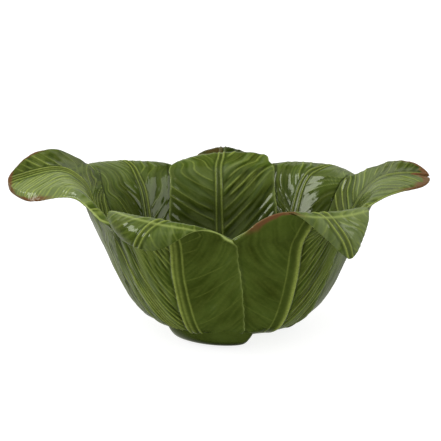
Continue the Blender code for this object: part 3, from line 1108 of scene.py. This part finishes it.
class Nodes:
    """Short calls for building the node tree of a material or a world."""

    def __init__(self, owner):
        owner.use_nodes = True
        self.tree = owner.node_tree

    def add(self, kind, **settings):
        node = self.tree.nodes.new(kind)
        for key, value in settings.items():
            setattr(node, key, value)
        return node

    def link(self, source, target):
        """Link a source to a socket, or set the socket to a number or a colour."""
        if isinstance(source, float):
            target.default_value = source
        elif isinstance(source, tuple):
            target.default_value = (*source, 1.0)
        else:
            self.tree.links.new(source, target)

    def value(self, key):
        return self.add("ShaderNodeAttribute", attribute_name=key).outputs["Fac"]

    def math(self, operation, first, second):
        node = self.add("ShaderNodeMath", operation=operation)
        self.link(first, node.inputs[0])
        self.link(second, node.inputs[1])
        return node.outputs[0]

    def mix(self, share, first, second):
        """A mix of two colours."""
        node = self.add("ShaderNodeMix", data_type="RGBA")
        self.link(share, node.inputs["Factor"])
        self.link(first, node.inputs[6])
        self.link(second, node.inputs[7])
        return node.outputs[2]

    def blend(self, share, first, second):
        """A mix of two strengths."""
        node = self.add("ShaderNodeMix")
        for socket, source in (("Factor", share), ("A", first), ("B", second)):
            self.link(source, node.inputs[socket])
        return node.outputs[0]

    def noise(self, scale, detail, roughness):
        node = self.add("ShaderNodeTexNoise")
        node.inputs["Scale"].default_value = scale
        node.inputs["Detail"].default_value = detail
        node.inputs["Roughness"].default_value = roughness
        place = self.add("ShaderNodeTexCoord")
        self.link(place.outputs["Object"], node.inputs["Vector"])
        return node.outputs["Fac"]

    def ramp(self, source, stops):
        node = self.add("ShaderNodeValToRGB")
        set_stops(node.color_ramp, stops)
        self.link(source, node.inputs["Fac"])
        return node.outputs["Color"]


def leaf_glaze(name):
    """Glossy green glaze: pale where it runs thin over a ridge, with painted shade where it is
    darkened and a painted highlight along edges and folds.
    """
    material = bpy.data.materials.new(name)
    nodes = Nodes(material)
    shader = nodes.tree.nodes["Principled BSDF"]
    cloud = nodes.noise(*CLOUD)
    speckle = nodes.noise(*SPECKLE)
    tone_sheen_and_shade = nodes.math("MULTIPLY", nodes.value("tone_sheen_and_shade"), TONE_SHARE)
    patches = nodes.math("ADD", tone_sheen_and_shade, nodes.math("MULTIPLY", cloud, CLOUD_SHARE))
    body = nodes.ramp(patches, BODY_RAMP)
    streak = nodes.ramp(nodes.math("ADD", nodes.value("streak"), STREAK_MIDDLE), STREAK_RAMP)
    ridge = nodes.math("MAXIMUM", nodes.value("ridge"), streak)
    broken = nodes.math("MULTIPLY", ridge, nodes.ramp(speckle, RIDGE_SPECKLE_RAMP))
    # The darkening value is painted shade with some gathered glaze, and the edge value is thin
    # glaze with a painted highlight.
    pool_and_shade = nodes.math("MULTIPLY", nodes.value("pool_and_shade"), POOL_AND_SHADE_COVER)
    edge = nodes.math("MULTIPLY", nodes.value("edge"), EDGE_AND_HIGHLIGHT_COVER)
    brown = nodes.math("MULTIPLY", nodes.value("brown"), nodes.ramp(speckle, BROWN_SPECKLE_RAMP))
    colour = nodes.mix(nodes.math("MULTIPLY", broken, RIDGE_COVER), body, PALE_GREEN)
    colour = nodes.mix(pool_and_shade, colour, POOL_AND_SHADE_GREEN)
    colour = nodes.mix(edge, colour, EDGE_GLAZE_AND_HIGHLIGHT_GREEN)
    colour = nodes.mix(brown, colour, BROWN)
    nodes.link(colour, shader.inputs["Base Color"])
    nodes.link(nodes.ramp(cloud, ROUGHNESS_RAMP), shader.inputs["Roughness"])
    shader.inputs["IOR"].default_value = GLAZE_IOR
    shader.inputs["Specular Tint"].default_value = GLAZE_TINT
    bumps = nodes.add("ShaderNodeBump")
    bumps.inputs["Strength"].default_value = SKIN_STRENGTH
    bumps.inputs["Distance"].default_value = SKIN_DEPTH
    nodes.link(nodes.noise(*SKIN), bumps.inputs["Height"])
    nodes.link(bumps.outputs["Normal"], shader.inputs["Normal"])
    return material


# ---- stage


def make_camera():
    data = bpy.data.cameras.new("camera")
    data.lens = CAMERA_LENS
    data.sensor_width = CAMERA_SENSOR
    camera = bpy.data.objects.new("camera", data)
    tilt = math.radians(CAMERA_ELEVATION)
    towards = Vector((0.0, math.cos(tilt), -math.sin(tilt)))
    camera.location = AXIS + CAMERA_TARGET - CAMERA_DISTANCE * towards
    camera.rotation_euler = towards.to_track_quat("-Z", "Y").to_euler()
    bpy.context.scene.collection.objects.link(camera)
    bpy.context.scene.camera = camera


def make_light(name, place, size, power):
    data = bpy.data.lights.new(name, "AREA")
    data.shape = "RECTANGLE"
    data.size, data.size_y = size
    data.energy = power
    light = bpy.data.objects.new(name, data)
    light.visible_glossy = name in SEEN_IN_GLOSS
    light.location = Vector(place)
    towards = Vector(LIGHT_AIM) - Vector(place)
    light.rotation_euler = towards.to_track_quat("-Z", "Y").to_euler()
    bpy.context.scene.collection.objects.link(light)


def make_floor():
    bpy.ops.mesh.primitive_plane_add(size=STAGE_SIZE)
    floor = bpy.context.object
    floor.name = "pale_floor"
    material = bpy.data.materials.new("pale_floor")
    material.use_nodes = True
    shader = material.node_tree.nodes["Principled BSDF"]
    shader.inputs["Base Color"].default_value = STAGE_GREY
    shader.inputs["Roughness"].default_value = STAGE_ROUGHNESS
    shader.inputs["Emission Color"].default_value = (*WHITE, 1.0)
    shader.inputs["Emission Strength"].default_value = STAGE_GLOW
    floor.data.materials.append(material)
    floor.visible_glossy = False
    floor.visible_diffuse = False


def sky_strength(nodes, direction, stops):
    """A strength for each value from -1 to 1 of one part of a direction."""
    node = nodes.add("ShaderNodeMapRange")
    node.inputs["From Min"].default_value = -1.0
    nodes.link(direction, node.inputs["Value"])
    places = [((place + 1.0) / 2.0, strength) for place, strength in stops]
    return nodes.ramp(node.outputs["Result"], places)


def make_world():
    """White behind the bowl, an even glow for its colour, and a sky of its own for its gloss."""
    world = bpy.data.worlds.new("studio")
    nodes = Nodes(world)
    split = nodes.add("ShaderNodeSeparateXYZ")
    nodes.link(nodes.add("ShaderNodeTexCoord").outputs["Generated"], split.inputs[0])
    side, turn, height = split.outputs
    ahead = sky_strength(nodes, height, SKY_AHEAD)
    behind = sky_strength(nodes, height, SKY_BEHIND)
    behind = nodes.math("MULTIPLY", behind, sky_strength(nodes, side, SKY_SIDES))
    sky = nodes.blend(sky_strength(nodes, turn, SKY_TURN), ahead, behind)
    path = nodes.add("ShaderNodeLightPath").outputs
    glow = nodes.blend(path["Is Glossy Ray"], WORLD_GLOW, sky)
    shown = nodes.blend(path["Is Camera Ray"], glow, 1.0)
    background = nodes.tree.nodes["Background"]
    nodes.link(shown, background.inputs["Strength"])
    nodes.link(nodes.mix(path["Is Glossy Ray"], WHITE, SKY_TINT), background.inputs["Color"])
    bpy.context.scene.world = world


def make_stage():
    make_floor()
    make_world()
    bpy.context.scene.view_settings.view_transform = "Standard"
    for name, (place, size, power) in SOFTBOXES.items():
        make_light(name, place, size, power)


def main():
    leaf_material = leaf_glaze("green_leaf_glaze")
    dark_material = leaf_glaze("green_foot_glaze")
    for number, (name, leaf) in enumerate(LEAVES.items()):
        make_leaf(name, leaf, number, leaf_material)
    for name, angle in FEET.items():
        make_foot(name, angle, dark_material)
    make_well(dark_material)
    make_stage()
    make_camera()


main()
